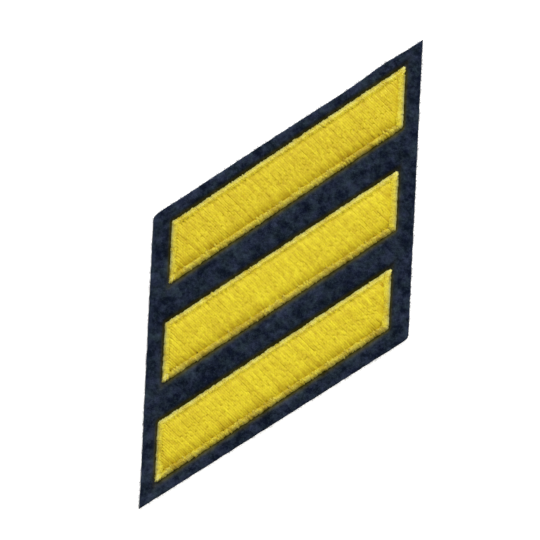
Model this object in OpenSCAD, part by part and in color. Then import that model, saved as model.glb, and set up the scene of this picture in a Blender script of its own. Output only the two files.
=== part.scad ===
// Service stripe patch: a slanted piece of felt with three embroidered bars, lying on its back.
// X runs to the right, Y up along the two upright ends, Z out of the face.
// The origin is the middle of the back, which is flat at Z = 0.

/* [Felt ground] */
// Width of the felt between its two upright ends
felt_w = 50.2; // [49:0.1:54]
// Height of the whole patch, from its lowest corner to its highest
felt_h = 93; // [92:0.5:100]
// Length of the left upright end
felt_left_end = 56.5; // [56:0.1:60]
// Slope of the lower cut edge, in degrees
felt_low_slope = 35.15; // [34.8:0.05:35.4]
// Thickness of the felt where nothing presses on it
felt_t = 1.6; // [1.4:0.05:2.2]
// Thickness of the felt where the stitches pull it down
seat_t = 1; // [0.9:0.05:1.2]
// Distance over which the felt rises again beside the stitches
pinch_reach = 1.5; // [1:0.1:2]
// Height of the soft swells between the bars
swell = 0.12; // [0:0.01:0.2]

/* [Embroidered bars] */
// Width of each bar between its two upright ends
bar_w = 43.4; // [41:0.1:43.6]
// Height of a bar's filling above its seat, at the middle
fill_rise = 0.95; // [0.6:0.05:1.2]
// Height of a bar's filling above its seat, at its edge
fill_edge = 0.5; // [0.3:0.05:0.6]
// Width of the satin border
border_w = 1.2; // [0.9:0.05:1.5]
// Height of the satin border above its seat
border_rise = 0.8; // [0.5:0.05:1]
// Radius of a bar's two wide corners, the two sharp ones being tighter
bar_corner = 0.6; // [0.3:0.05:0.8]
// Gap kept between two pieces
gap = 0.05; // [0.02:0.01:0.1]

/* [Hidden] */

NAVY = [0.125, 0.153, 0.208];
GOLD = [0.839, 0.757, 0.188];

// The bars from the bottom up: centre across, centre up, height along the ends, slope in degrees.
BARS = [[-0.55, -19.50, 11.75, 36.27],
        [-0.10, -0.40, 11.60, 36.16],
        [0.30, 19.25, 12.00, 36.63]];
ACROSS = 0;
UP = 1;
HEIGHT = 2;
SLOPE = 3;
LOWER = 0;
MIDDLE = 1;
UPPER = 2;

// Places where the felt's upper edge wanders from a straight cut: centre across, reach, distance out.
WANDER = [[17.8, 3.2, 0.28], [8.5, 5.5, -0.14]];

felt_left = -felt_w / 2;
felt_right = felt_w / 2;
felt_low_left = -felt_h / 2;
felt_low_right = felt_low_left + felt_w * tan(felt_low_slope);
felt_high_left = felt_low_left + felt_left_end;
felt_high_slope = atan((felt_h / 2 - felt_high_left) / felt_w);
// Corners of the felt that are worn blunt: across, up, reach, distance pulled in.
BLUNT = [[felt_left, felt_high_left, 0.6, 0.1],
         [felt_right, felt_low_right, 0.5, 0.05]];

// The felt's cut edge is rounded at its top: how far in, and how much of the thickness it loses.
edge_round = 0.45;
edge_drop = 0.35;
// How far in from the upper cut edge its wander dies out.
wander_reach = 3;

// Slow waves that make the swells: share of the height, degrees per mm across and up, start.
WAVES = [[0.3, 52, 31, 0], [0.2, 37, -61, 130]];

// Steps of the felt's grid beside a bar and beside a cut edge, as distances from it.
PINCH_STEPS = [0, 0.3, 0.65, 1.1];
EDGE_STEPS = [0, 0.15, 0.45];
// Number of equal steps across a bar, along its height, and between two bars.
steps_across = 26;
steps_up = 4;
steps_between = 4;

// Number of points round each corner of a bar, and over the border's back.
corner_steps = 4;
back_steps = 8;
// Number of steps of the filling along a bar and up it.
fill_along = 16;
fill_up = 10;

function soft(t) = t <= 0 ? 0 : t >= 1 ? 1 : t * t * (3 - 2 * t);
function mix(a, b, t) = a + (b - a) * t;
function total(list, i = 0) = i >= len(list) ? 0 : list[i] + total(list, i + 1);
function reversed(list) = [for (i = [len(list) - 1:-1:0]) list[i]];
function last(list) = list[len(list) - 1];
function bell(d, reach) = exp(-d * d / (reach * reach));

// A slanted line is [height at x = 0, slope as a tangent]. A bar's lower edge is its side -1, its
// upper edge is its side 1, and either is moved out by a distance across the bar.
function line_y(line, x) = line[0] + line[1] * x;
function bar_line(bar, side, out) =
    let (lean = tan(bar[SLOPE]))
    [bar[UP] - lean * bar[ACROSS] + side * (bar[HEIGHT] / 2 + out / cos(bar[SLOPE])), lean];
function line_between(a, b, t) = [mix(a[0], b[0], t), mix(a[1], b[1], t)];

function bar_left(bar) = bar[ACROSS] - bar_w / 2;
function bar_right(bar) = bar[ACROSS] + bar_w / 2;

// Distance of a point outside a bar: zero or less on it, else to the nearest of its four sides.
function out_of_bar(bar, p) =
    let (flat = max(bar_left(bar) - p[0], p[0] - bar_right(bar)),
         low = (line_y(bar_line(bar, -1, 0), p[0]) - p[1]) * cos(bar[SLOPE]),
         high = (p[1] - line_y(bar_line(bar, 1, 0), p[0])) * cos(bar[SLOPE]),
         tall = max(low, high))
    flat > 0 && tall > 0 ? sqrt(flat * flat + tall * tall) : max(flat, tall);

felt_low_line = [(felt_low_left + felt_low_right) / 2, tan(felt_low_slope)];
felt_high_line = [(felt_high_left + felt_h / 2) / 2, tan(felt_high_slope)];

// Distance of a point from the nearest cut edge of the felt.
function in_from_edge(p) =
    min(p[0] - felt_left,
        felt_right - p[0],
        (p[1] - line_y(felt_low_line, p[0])) * cos(felt_low_slope),
        (line_y(felt_high_line, p[0]) - p[1]) * cos(felt_high_slope));

// Soft swells of the free felt: slow waves at an angle to each other, never below zero.
function swells(p) =
    swell * total([for (w = WAVES) w[0] * (1 + sin(w[1] * p[0] + w[2] * p[1] + w[3]))]);

// Height of the felt's face: the free thickness, pulled down to the seat beside and under each bar,
// and rounded over at the cut edge.
function felt_z(p) =
    let (away = min([for (bar = BARS) out_of_bar(bar, p)]),
         free = felt_t + swells(p) * soft(away / (2 * pinch_reach)),
         round_off = 1 - soft(in_from_edge(p) / edge_round))
    mix(seat_t, free, soft(away / pinch_reach)) - edge_drop * felt_t * round_off * round_off;

// The x of each upright line of the felt's grid, on a row where the bars end at left and right.
function grid_x(left, right) = concat(
    [for (step = EDGE_STEPS) felt_left + step],
    [mix(felt_left + last(EDGE_STEPS), left - last(PINCH_STEPS), 0.5)],
    [for (step = reversed(PINCH_STEPS)) left - step],
    [for (i = [1:steps_across - 1]) mix(left, right, i / steps_across)],
    [for (step = PINCH_STEPS) right + step],
    [mix(felt_right - last(EDGE_STEPS), right + last(PINCH_STEPS), 0.5)],
    [for (step = reversed(EDGE_STEPS)) felt_right - step]);

// The slanted lines of the grid, from the lower cut edge to the upper one. Each is
// [line, left end of the bars there, right end of the bars there].
function at_bar(bar, line) = [line, bar_left(bar), bar_right(bar)];
function row_between(a, b, t) =
    [line_between(a[0], b[0], t), mix(a[1], b[1], t), mix(a[2], b[2], t)];
function bar_rows(bar) = concat(
    [for (step = reversed(PINCH_STEPS)) at_bar(bar, bar_line(bar, -1, step))],
    [for (i = [1:steps_up - 1])
        at_bar(bar, line_between(bar_line(bar, -1, 0), bar_line(bar, 1, 0), i / steps_up))],
    [for (step = PINCH_STEPS) at_bar(bar, bar_line(bar, 1, step))]);
function shifted(line, slope, out) = [line[0] + out / cos(slope), line[1]];
function low_rows() =
    [for (step = EDGE_STEPS) at_bar(BARS[LOWER], shifted(felt_low_line, felt_low_slope, step))];
function high_rows() =
    [for (step = reversed(EDGE_STEPS))
        at_bar(BARS[UPPER], shifted(felt_high_line, felt_high_slope, -step))];
function rows_between(a, b, count) = [for (i = [1:count - 1]) row_between(a, b, i / count)];

lower_rows = bar_rows(BARS[LOWER]);
middle_rows = bar_rows(BARS[MIDDLE]);
upper_rows = bar_rows(BARS[UPPER]);
GRID_ROWS = concat(
    low_rows(),
    rows_between(last(low_rows()), lower_rows[0], 2),
    lower_rows,
    rows_between(last(lower_rows), middle_rows[0], steps_between),
    middle_rows,
    rows_between(last(middle_rows), upper_rows[0], steps_between),
    upper_rows,
    rows_between(last(upper_rows), high_rows()[0], 2),
    high_rows());

// A grid point's place on the flat: the wander lifts the upper edge and the blunt corners pull in.
function wander(x) = total([for (w = WANDER) w[2] * bell(x - w[0], w[1])]);
function near_top(p) = soft(1 - (line_y(felt_high_line, p[0]) - p[1]) / wander_reach);
function placed(p) =
    let (lift = wander(p[0]) * near_top(p),
         pull = [for (b = BLUNT) b[3] * bell(norm([p[0] - b[0], p[1] - b[1]]), b[2])],
         inward = -p / max(norm(p), 1))
    [p[0], p[1] + lift] + inward * total(pull);

FELT_GRID = [for (row = GRID_ROWS) [for (x = grid_x(row[1], row[2])) [x, line_y(row[0], x)]]];

// A closed solid over a grid of points [x, y, z]: the grid is its top, upright walls go down from
// its rim, and its base is flat at low, in triangles that meet at its middle.
module draped_block(grid, low) {
    rows = len(grid);
    cols = len(grid[0]);
    top = [for (row = grid) for (p = row) p];
    rim = concat(
        [for (i = [0:cols - 2]) i],
        [for (j = [0:rows - 2]) j * cols + cols - 1],
        [for (i = [cols - 1:-1:1]) (rows - 1) * cols + i],
        [for (j = [rows - 1:-1:1]) j * cols]);
    base = [for (k = rim) [top[k][0], top[k][1], low]];
    first = len(top);
    count = len(rim);
    middle = first + count;
    centre = [total([for (p = base) p[0]]) / count, total([for (p = base) p[1]]) / count, low];
    faces = concat(
        [for (j = [0:rows - 2], i = [0:cols - 2])
            let (a = j * cols + i) [a, a + cols, a + 1]],
        [for (j = [0:rows - 2], i = [0:cols - 2])
            let (a = j * cols + i) [a + 1, a + cols, a + cols + 1]],
        [for (k = [0:count - 1])
            let (n = (k + 1) % count) [rim[k], rim[n], first + k]],
        [for (k = [0:count - 1])
            let (n = (k + 1) % count) [rim[n], first + n, first + k]],
        [for (k = [0:count - 1]) [first + k, first + (k + 1) % count, middle]]);
    polyhedron(points = concat(top, base, [centre]), faces = faces);
}

// The felt: one block over its whole grid, flat at the back.
module felt_ground() {
    color(NAVY)
        draped_block([for (row = FELT_GRID) [for (p = row) concat(placed(p), felt_z(p))]], 0);
}

// A bar's outline, drawn in by inset: the crossing points of its four sides, counter-clockwise from
// the lower left.
function bar_corners(bar, inset) =
    let (low = bar_line(bar, -1, -inset),
         high = bar_line(bar, 1, -inset),
         left = bar_left(bar) + inset,
         right = bar_right(bar) - inset)
    [[left, line_y(low, left)], [right, line_y(low, right)],
     [right, line_y(high, right)], [left, line_y(high, left)]];

// The same outline with round corners: an arc between the two sides at each, of about the given
// radius at the wide corners and a quarter of it at the sharp ones.
function rounded_bar(bar, inset, radius) =
    let (corner = bar_corners(bar, inset))
    [for (k = [0:3])
        let (here = corner[k],
             back = corner[(k + 3) % 4] - here,
             on = corner[(k + 1) % 4] - here,
             to_back = back / norm(back),
             to_on = on / norm(on),
             half = acos(to_back * to_on) / 2,
             middle = (to_back + to_on) / norm(to_back + to_on),
             bend = radius * tan(half) / 2,
             centre = here + middle * bend / sin(half),
             sweep = 180 - 2 * half,
             facing = atan2(-middle[1], -middle[0]))
        for (i = [0:corner_steps])
            let (turn = facing + sweep * (i / corner_steps - 0.5))
            centre + bend * [cos(turn), sin(turn)]];

// The border: a rounded back carried round the bar. Each row of its profile is [inset, height].
// The back stands on upright sides, and its fullness is 1 for an ellipse, less for a squarer one.
border_low = seat_t + gap;
border_side = 0.35;
border_fullness = 0.8;
tightest_corner = 0.2;
BORDER_PROFILE = concat(
    [[0, border_low]],
    [for (i = [0:back_steps])
        let (turn = 180 * i / back_steps)
        [border_w * (1 - cos(turn)) / 2,
         border_low + border_side + (border_rise - border_side) * pow(sin(turn), border_fullness)]],
    [[border_w, border_low]]);

module border_ring(bar) {
    loops = [for (row = BORDER_PROFILE)
        let (radius = max(bar_corner - row[0], tightest_corner))
        [for (p = rounded_bar(bar, row[0], radius)) concat(p, row[1])]];
    across = len(loops);
    around = len(loops[0]);
    faces = concat(
        [for (j = [0:across - 1], i = [0:around - 1])
            let (n = (i + 1) % around, m = (j + 1) % across)
            [j * around + i, m * around + i, j * around + n]],
        [for (j = [0:across - 1], i = [0:around - 1])
            let (n = (i + 1) % around, m = (j + 1) % across)
            [j * around + n, m * around + i, m * around + n]]);
    polyhedron(points = [for (loop = loops) for (p = loop) p], faces = faces);
}

// The filling: a pad whose top is low at its edge and rises to a broad crown. The crown is full
// after this share of the half length and of the half height.
rise_along = 0.11;
rise_up = 0.53;
function crown(u, v) =
    let (near_end = 1 - abs(2 * u - 1),
         near_side = 1 - abs(2 * v - 1))
    fill_edge + (fill_rise - fill_edge) * sqrt(soft(near_end / rise_along) * soft(near_side / rise_up));

module fill_pad(bar) {
    corner = bar_corners(bar, border_w + gap);
    low = seat_t + gap;
    grid = [for (j = [0:fill_up])
        [for (i = [0:fill_along])
            let (u = eased(i / fill_along),
                 v = eased(j / fill_up),
                 p = mix(mix(corner[0], corner[1], u), mix(corner[3], corner[2], u), v))
            [p[0], p[1], low + crown(u, v)]]];
    draped_block(grid, low);
}

// Spacing that puts more steps near both ends of the range 0 to 1.
crowding = 0.75;
function eased(t) = mix(t, (1 - cos(180 * t)) / 2, crowding);

module upper_fill() { color(GOLD) fill_pad(BARS[UPPER]); }
module upper_border() { color(GOLD) border_ring(BARS[UPPER]); }
module middle_fill() { color(GOLD) fill_pad(BARS[MIDDLE]); }
module middle_border() { color(GOLD) border_ring(BARS[MIDDLE]); }
module lower_fill() { color(GOLD) fill_pad(BARS[LOWER]); }
module lower_border() { color(GOLD) border_ring(BARS[LOWER]); }

felt_ground();
upper_fill();
upper_border();
middle_fill();
middle_border();
lower_fill();
lower_border();
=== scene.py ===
# %% [markdown]
# # A felt patch with three embroidered bars
# The real object is a slanted piece of dark navy wool felt. Three gold bars are machine-embroidered
# through it. Each bar is a crowned field of filling stitches with a narrow satin border round it, and
# the stitches pull the felt down beside them. This lesson builds the felt as a height field, and every
# stitch and fibre as a thin tube, all worked out as whole arrays.

# %% Load the frame
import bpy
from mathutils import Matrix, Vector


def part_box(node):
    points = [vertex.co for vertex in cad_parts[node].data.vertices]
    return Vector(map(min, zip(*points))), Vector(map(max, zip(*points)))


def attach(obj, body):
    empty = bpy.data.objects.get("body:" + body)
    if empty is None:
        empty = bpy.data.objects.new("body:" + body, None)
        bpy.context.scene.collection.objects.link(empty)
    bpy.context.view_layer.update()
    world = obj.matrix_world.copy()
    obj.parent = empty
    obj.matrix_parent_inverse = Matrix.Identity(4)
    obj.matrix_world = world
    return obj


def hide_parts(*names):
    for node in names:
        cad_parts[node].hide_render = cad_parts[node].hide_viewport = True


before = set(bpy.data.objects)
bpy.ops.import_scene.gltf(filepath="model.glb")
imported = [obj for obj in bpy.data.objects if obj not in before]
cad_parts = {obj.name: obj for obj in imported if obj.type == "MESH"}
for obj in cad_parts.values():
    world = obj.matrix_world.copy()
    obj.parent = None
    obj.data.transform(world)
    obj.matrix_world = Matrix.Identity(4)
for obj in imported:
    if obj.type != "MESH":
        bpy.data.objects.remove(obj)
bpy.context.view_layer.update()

from types import SimpleNamespace

import bpy
import numpy as np
from mathutils import Vector

# %% [markdown]
# ## Sizes
# The frame holds the solids that the cloth and the stitches stand for. Sizes typed in again could
# drift away from them, so the solids' boxes are read. What a box doesn't tell is named: slopes, the
# lengths of upright ends, the border's width and the small gap between solids. Shapes are worked out
# in millimetres, and go to metres when a mesh is made.

# %% Sizes from the frame
MM = 0.001


def box_mm(name):
    """A node's lowest and highest corner, in millimetres."""
    low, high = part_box(name)
    return np.array(low) / MM, np.array(high) / MM


felt_low, felt_high = box_mm("felt_ground")
felt_half = (felt_high[0] - felt_low[0]) / 2
FELT_LEFT_END = 56.5
FELT_LOW_SLOPE = np.radians(35.15)
BORDER = 1.2
GAP = 0.05

# Each bar: how long its upright ends are, and its slope in degrees.
BAR_SHAPES = {"lower": (11.75, 36.27), "middle": (11.60, 36.16), "upper": (12.00, 36.63)}


def bar_from_frame(name, end, slope):
    """A bar's middle, half sizes, slope and two directions, from its border's box."""
    low, high = box_mm(f"{name}_border")
    lean = np.radians(slope)
    return SimpleNamespace(
        name=name,
        middle=(low[:2] + high[:2]) / 2,
        half_width=(high[0] - low[0]) / 2,
        half_height=end / 2 * np.cos(lean),
        lean=lean,
        along=np.array([np.cos(lean), np.sin(lean)]),
        across=np.array([-np.sin(lean), np.cos(lean)]),
    )


BARS = [bar_from_frame(name, *shape) for name, shape in BAR_SHAPES.items()]
for bar in BARS:
    print(bar.name, "middle", bar.middle.round(2), "half width", bar.half_width.round(2))

# %% [markdown]
# ## Small helpers for shapes
# Felt is soft and uneven, so it needs soft steps, bells and lumps. Blender's noise textures don't
# work on arrays, so the lumps are random heights on a square lattice, blended by soft steps and fixed
# by a seed.

# %% Soft steps, bells and lumps
LATTICE = 64
LATTICE_SHIFT = 31.7, 17.3


def soft(t):
    """t * t * (3 - 2 t) between 0 and 1, and level outside."""
    t = np.clip(t, 0, 1)
    return t * t * (3 - 2 * t)


def mix(a, b, t):
    """a at t = 0, b at t = 1, straight between."""
    return a + (b - a) * t


def bell(t):
    """1 at t = 0, falling off to both sides: e to the power of minus t squared."""
    return np.exp(-(t**2))


def spot(x, y, at_x, at_y, reach):
    """A bell in two directions: 1 at one point, falling off with the distance over reach."""
    return np.exp(-(((x - at_x) ** 2 + (y - at_y) ** 2) / reach**2))


def lumps(x, y, size, seed):
    """Random heights from -1 to 1 on a lattice of the given size, blended by soft steps."""
    table = np.random.default_rng(seed).uniform(-1, 1, (LATTICE, LATTICE))
    u, v = x / size + LATTICE_SHIFT[0], y / size + LATTICE_SHIFT[1]
    i, j = np.floor(u).astype(int), np.floor(v).astype(int)
    s, t = soft(u - i), soft(v - j)
    corner = [[table[(i + a) % LATTICE, (j + b) % LATTICE] for b in (0, 1)] for a in (0, 1)]
    return mix(mix(corner[0][0], corner[1][0], s), mix(corner[0][1], corner[1][1], s), t)


# %% [markdown]
# ## Outline of the felt, and places round a bar
# The felt is cut with scissors: its ends are upright, its lower edge is straight and its upper edge
# wanders a little. Each slanted edge is a function of x, so that a grid can be stretched between the
# two. The painted shade and light on the wool change with its place beside a bar, so a few more
# functions tell that place.

# %% Cut edges
# The wander of the upper edge: where, how wide and how far out.
WANDER = ((17.8, 3.2, 0.28), (8.5, 5.5, -0.14))


def low_edge(x):
    """The lower cut edge: a straight line up from the lower left corner."""
    return felt_low[1] + (x - felt_low[0]) * np.tan(FELT_LOW_SLOPE)


def high_edge(x):
    """The upper cut edge: a straight line between its corners, with a bell-shaped wander."""
    left = felt_low[1] + FELT_LEFT_END
    line = left + (x - felt_low[0]) * (felt_high[1] - left) / (2 * felt_half)
    return line + sum(out * bell((x - at) / reach) for at, reach, out in WANDER)


# %% Places round a bar
ROLL_AT, ROLL_REACH, ROLL_FADE = 0.52, 0.42, 0.5
END_ROLL = 0.5
TIP_REACH = 0.9


def own_place(bar, x, y):
    """A point's place on a bar: dx to the right of its middle, and q up, square to its sides."""
    dx, dy = x - bar.middle[0], y - bar.middle[1]
    return dx, dx * bar.across[0] + dy * bar.across[1]


def patch_place(bar, dx, q):
    """The same the other way round: x and y on the patch for dx and q on a bar."""
    return bar.middle[0] + dx, bar.middle[1] + (q - dx * bar.across[0]) / bar.across[1]


def away_from_bars(x, y, stretch=1.0):
    """Distance outside the nearest bar: below zero on it, else to its nearest side or corner. A
    stretch counts what lies past an upright end as farther away."""
    away = []
    for bar in BARS:
        dx, q = own_place(bar, x, y)
        flat = (np.abs(dx) - bar.half_width) * stretch
        tall = np.abs(q) - bar.half_height
        corner = np.hypot(np.maximum(flat, 0), np.maximum(tall, 0))
        away.append(np.where(corner > 0, corner, np.maximum(flat, tall)))
    return np.min(away, axis=0)


def below_bars(x, y):
    """1 on the roll of felt just below a bar's lower side, and 0 elsewhere."""
    roll = 0
    for bar in BARS:
        dx, q = own_place(bar, x, y)
        beside = np.clip((bar.half_width + ROLL_FADE - np.abs(dx)) / ROLL_FADE, 0, 1)
        roll = roll + bell((-q - bar.half_height - ROLL_AT) / ROLL_REACH) * beside
    return roll


def past_ends(x, y):
    """1 on the felt just past a bar's upright ends, and 0 elsewhere."""
    roll = 0
    for bar in BARS:
        dx, q = own_place(bar, x, y)
        beside = np.clip(1.5 - np.abs(q) / bar.half_height, 0, 1)
        roll = roll + bell((np.abs(dx) - bar.half_width - END_ROLL) / END_ROLL) * soft(beside * 2)
    return roll


def at_tips(x, y):
    """1 at the two sharp tips of a bar, falling off as a bell with the distance from them."""
    bells = 0
    for bar in BARS:
        climb = bar.half_width * np.tan(bar.lean) + bar.half_height / bar.across[1]
        for way in (-1, 1):
            tip_x = bar.middle[0] + way * bar.half_width
            tip_y = bar.middle[1] + way * climb
            bells = bells + spot(x, y, tip_x, tip_y, TIP_REACH)
    return bells


# %% [markdown]
# ## The felt's height and its painted shade
# Stitches press the springy wool to a thin seat, from which it rises again over a millimetre, and it
# swells in uneven puffs. A simulation would need the pull of each stitch, so the height is worked out
# from the distance to the nearest bar, for the cloth and its fibres alike. Two more functions tell
# where a shadow is painted on the wool and where a painted light falls on it.

# %% Felt height
SEAT = box_mm("upper_fill")[0][2] - GAP
FREE, SWELL = 1.6, 0.08
HELD, PINCH = 0.05, 1.1
# Each puff: its height, its size and its seed.
PUFFS = ((0.07, 2.6, 1), (0.09, 1.2, 2), (0.05, 0.55, 3))
TUG, TUG_AT, TUG_SIZE = 0.08, 0.9, 1.7


def felt_face(x, y):
    """Seat height on a bar, rising softly to the free thickness, with puffs of three sizes and tugs a
    little way off the stitches."""
    away = away_from_bars(x, y)
    puffs = sum(high * lumps(x, y, size, seed) for high, size, seed in PUFFS)
    tugs = TUG * lumps(x, y, TUG_SIZE, 4) * bell(away - TUG_AT)
    rise = soft((away - HELD) / PINCH)
    return mix(SEAT, FREE + SWELL + puffs, rise) + tugs * rise


print("felt face, mm: seat", SEAT.round(2), "free", FREE + SWELL)

# %% Painted shade and light on the wool
# Painted shade on the wool: how much beside the stitches, on the roll below a bar, past its ends and at
# the tips. Painted light: how much where the wool rolls up below a bar and past its ends.
END_NARROWER = 1.1
NEAR_DARK, NEAR_FROM, NEAR_REACH = 1.1, 0.15, 0.75
ROLL_DARK, ROLL_UNEVEN, END_DARK, TIP_LESS_SHADE = 0.45, 0.6, 0.14, 0.6
ROLL_LIGHT, END_LIGHT, TIP_DIM = 0.5, 0.25, 0.8


def pressed_wool(x, y):
    """How much painted shadow the wool gets, warm with a painted reflection of the gold: most beside the
    stitches, some below a bar and past its ends, and less at the sharp tips."""
    away = away_from_bars(x, y, END_NARROWER)
    near = NEAR_DARK * (1 - soft((away - NEAR_FROM) / NEAR_REACH))
    uneven = 1 + ROLL_UNEVEN * lumps(x, y, 0.9, 8)
    pressed = np.maximum(near, ROLL_DARK * below_bars(x, y) * uneven)
    pressed = np.maximum(pressed, END_DARK * past_ends(x, y))
    return pressed * (1 - TIP_LESS_SHADE * at_tips(x, y))


def rolled_light(x, y):
    """How much paler the wool is where it rolls up out of the seat and faces the light."""
    rolled = ROLL_LIGHT * below_bars(x, y) + END_LIGHT * past_ends(x, y)
    return rolled * (1 - TIP_DIM * at_tips(x, y))


# %% [markdown]
# ## Making a mesh from arrays
# Each piece is a list of parts, each with its points, its faces and some values at each point, such as
# a strand's shade. Adding a hundred thousand points one at a time is slow, so the arrays go in whole.

# %% Mesh from parts


def part(points, faces, **values):
    """Points as rows of x, y, z in mm, a list of face arrays, and named values at each point."""
    return SimpleNamespace(points=points.reshape(-1, 3), faces=faces, values=values)


def sheet_faces(index):
    """The four-sided faces of a grid of point numbers."""
    ring = [index[:-1, :-1], index[:-1, 1:], index[1:, 1:], index[1:, :-1]]
    return np.stack(ring, axis=-1).reshape(-1, 4)


def piece_from_parts(name, parts, material):
    """One object from all parts, shaded smooth, with the parts' values as attributes."""
    offsets = np.cumsum([0] + [len(p.points) for p in parts])
    faces = [f + offset for p, offset in zip(parts, offsets) for f in p.faces]
    corners = np.concatenate([f.ravel() for f in faces]).astype(np.int32)
    sizes = np.concatenate([np.full(len(f), f.shape[1]) for f in faces])
    mesh = bpy.data.meshes.new(name)
    mesh.vertices.add(offsets[-1])
    mesh.vertices.foreach_set("co", (np.concatenate([p.points for p in parts]) * MM).ravel())
    mesh.loops.add(len(corners))
    mesh.loops.foreach_set("vertex_index", corners)
    mesh.polygons.add(len(sizes))
    mesh.polygons.foreach_set("loop_start", (np.cumsum(sizes) - sizes).astype(np.int32))
    mesh.update(calc_edges=True)
    mesh.polygons.foreach_set("use_smooth", np.ones(len(sizes), dtype=bool))
    for key in parts[0].values:
        values = np.concatenate([p.values[key].reshape(len(p.points), -1) for p in parts])
        kind = "FLOAT" if values.shape[1] == 1 else "FLOAT_VECTOR"
        attribute = mesh.attributes.new(key, kind, "POINT")
        attribute.data.foreach_set("value" if kind == "FLOAT" else "vector", values.ravel())
    mesh.materials.append(material)
    piece = bpy.data.objects.new(name, mesh)
    bpy.context.scene.collection.objects.link(piece)
    print(name, "triangles", int((sizes - 2).sum()))
    return piece


# %% [markdown]
# ## Strands
# A stitch is a run of thread and a fibre is a hair, so both are tubes round a path. Bevelled curves
# would do, but thousands of them are slow. All paths of a bundle have the same number of points, so
# one array holds them. The tube's ring lies across the path, wide sideways and flat upwards, as thread
# lies under tension.

# %% Tubes round many paths
BOX_TURN = 0.6


def unit(v):
    """Each vector divided by its length."""
    return v / np.maximum(np.linalg.norm(v, axis=-1, keepdims=True), 1e-9)


def strands(path, half_width, half_height, sides, shade, rim=0.0, boxy=0.0):
    """path has a row of points for each strand. Ring point = path point + cos(a) * half_width * side
    + sin(a) * half_height * upward, where side is level and square to the path. The angles a are
    even, less BOX_TURN * boxy * sin(2 a), which makes a strand flat-topped."""
    count, rings = path.shape[:2]
    heading = unit(np.gradient(path, axis=1))
    side = unit(np.cross(heading, (0.0, 0.0, 1.0)))
    upward = np.cross(side, heading)
    turn = np.arange(sides) * 2 * np.pi / sides
    turn = turn - BOX_TURN * np.broadcast_to(boxy, count)[:, None, None] * np.sin(2 * turn)
    width = np.broadcast_to(half_width, (count, rings))[..., None, None]
    height = np.broadcast_to(half_height, (count, rings))[..., None, None]
    points = (
        path[:, :, None]
        + np.cos(turn)[..., None] * width * side[:, :, None]
        + np.sin(turn)[..., None] * height * upward[:, :, None]
    )
    index = np.arange(count * rings * sides).reshape(count, rings, sides)
    on = np.roll(index, -1, axis=2)
    quads = np.stack([index[:, :-1], index[:, 1:], on[:, 1:], on[:, :-1]], axis=-1).reshape(-1, 4)
    ends = np.concatenate([index[:, 0], index[:, -1, ::-1]])
    step = np.linalg.norm(np.diff(path, axis=1), axis=-1)
    run = np.concatenate([np.zeros((count, 1)), np.cumsum(step, axis=1)], axis=1)
    around = np.stack([np.cos(turn), np.sin(turn), 0 * turn], axis=-1)
    shape = (count, rings, sides)
    return part(
        points,
        [quads, ends],
        shade=np.broadcast_to(np.reshape(shade, (count, 1, 1)), shape).ravel(),
        along=np.broadcast_to(run[..., None], shape).ravel(),
        around=np.broadcast_to(around, shape + (3,)).reshape(-1, 3),
        rim=np.broadcast_to(np.broadcast_to(rim, (count, rings))[..., None], shape).ravel(),
    )


def plain_values(count, shade):
    """The same value names as a strand's, for a part that has no thread running along it."""
    zeros = np.zeros(count)
    return dict(shade=np.full(count, shade), along=zeros, around=np.zeros((count, 3)), rim=zeros)


def as_wool(bundle, pressed):
    """A bundle of strands with the felt's values instead of a thread's."""
    return part(bundle.points, bundle.faces, shade=bundle.values["shade"], pressed=pressed)


# %% [markdown]
# ## Materials by expression
# A long sum of noises is hard to read as nodes and links. So a socket is wrapped in a small class,
# whose sums and products add Math nodes. Every other node comes from one function.

# %% A small shader language


class Wire:
    """A node's output, with + - * that add Math nodes, also when a plain number comes first."""

    def __init__(self, tree, socket):
        self.tree, self.socket = tree, socket

    def math(self, operation, *others):
        """A Math node on this wire and the others."""
        values = dict(enumerate((self, *others)))
        return node(self.tree, "ShaderNodeMath", {"operation": operation}, values)

    def __add__(self, other):
        return self.math("ADD", other)

    def __mul__(self, other):
        return self.math("MULTIPLY", other)

    def __sub__(self, other):
        return self.math("SUBTRACT", other)

    def __rsub__(self, other):
        return (self * -1) + other

    __radd__, __rmul__ = __add__, __mul__


def node(tree, kind, settings=None, inputs=None, output=0):
    """Adds a node: its settings first, then the values or links of its sockets, and wraps an output."""
    made = tree.nodes.new(kind)
    for key, value in (settings or {}).items():
        setattr(made, key, value)
    for key, value in (inputs or {}).items():
        if isinstance(value, Wire):
            tree.links.new(value.socket, made.inputs[key])
        else:
            made.inputs[key].default_value = value
    return Wire(tree, made.outputs[output]) if made.outputs else None


def mesh_value(tree, name, output=2):
    """A value kept at the mesh's points: output 2 is a number, and output 1 a vector."""
    return node(tree, "ShaderNodeAttribute", {"attribute_name": name}, output=output)


def colour_mix(tree, share, a, b, blend="MIX"):
    """The colour a at share 0 and b at share 1, or a times b where blend is MULTIPLY."""
    settings = {"data_type": "RGBA", "blend_type": blend}
    return node(tree, "ShaderNodeMix", settings, {0: share, 6: a, 7: b}, output=2)


def noise(tree, place, scale, detail=2.0, roughness=0.5, field=0.0):
    """Noise from 0 to 1 with this many lumps to a unit of place. Another field gives another noise."""
    inputs = {"Vector": place, "Scale": scale, "Detail": detail, "Roughness": roughness}
    if not field:
        return node(tree, "ShaderNodeTexNoise", None, inputs)
    return node(tree, "ShaderNodeTexNoise", {"noise_dimensions": "4D"}, {**inputs, "W": field})


def new_material(name):
    """A material and its empty tree of nodes."""
    material = bpy.data.materials.new(name)
    material.use_nodes = True
    tree = material.node_tree
    tree.nodes.clear()
    return material, tree


def finish_material(tree, inputs):
    """A Principled shader with the given inputs, joined to the output."""
    shader = node(tree, "ShaderNodeBsdfPrincipled", None, inputs)
    node(tree, "ShaderNodeOutputMaterial", None, {"Surface": shader})
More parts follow.
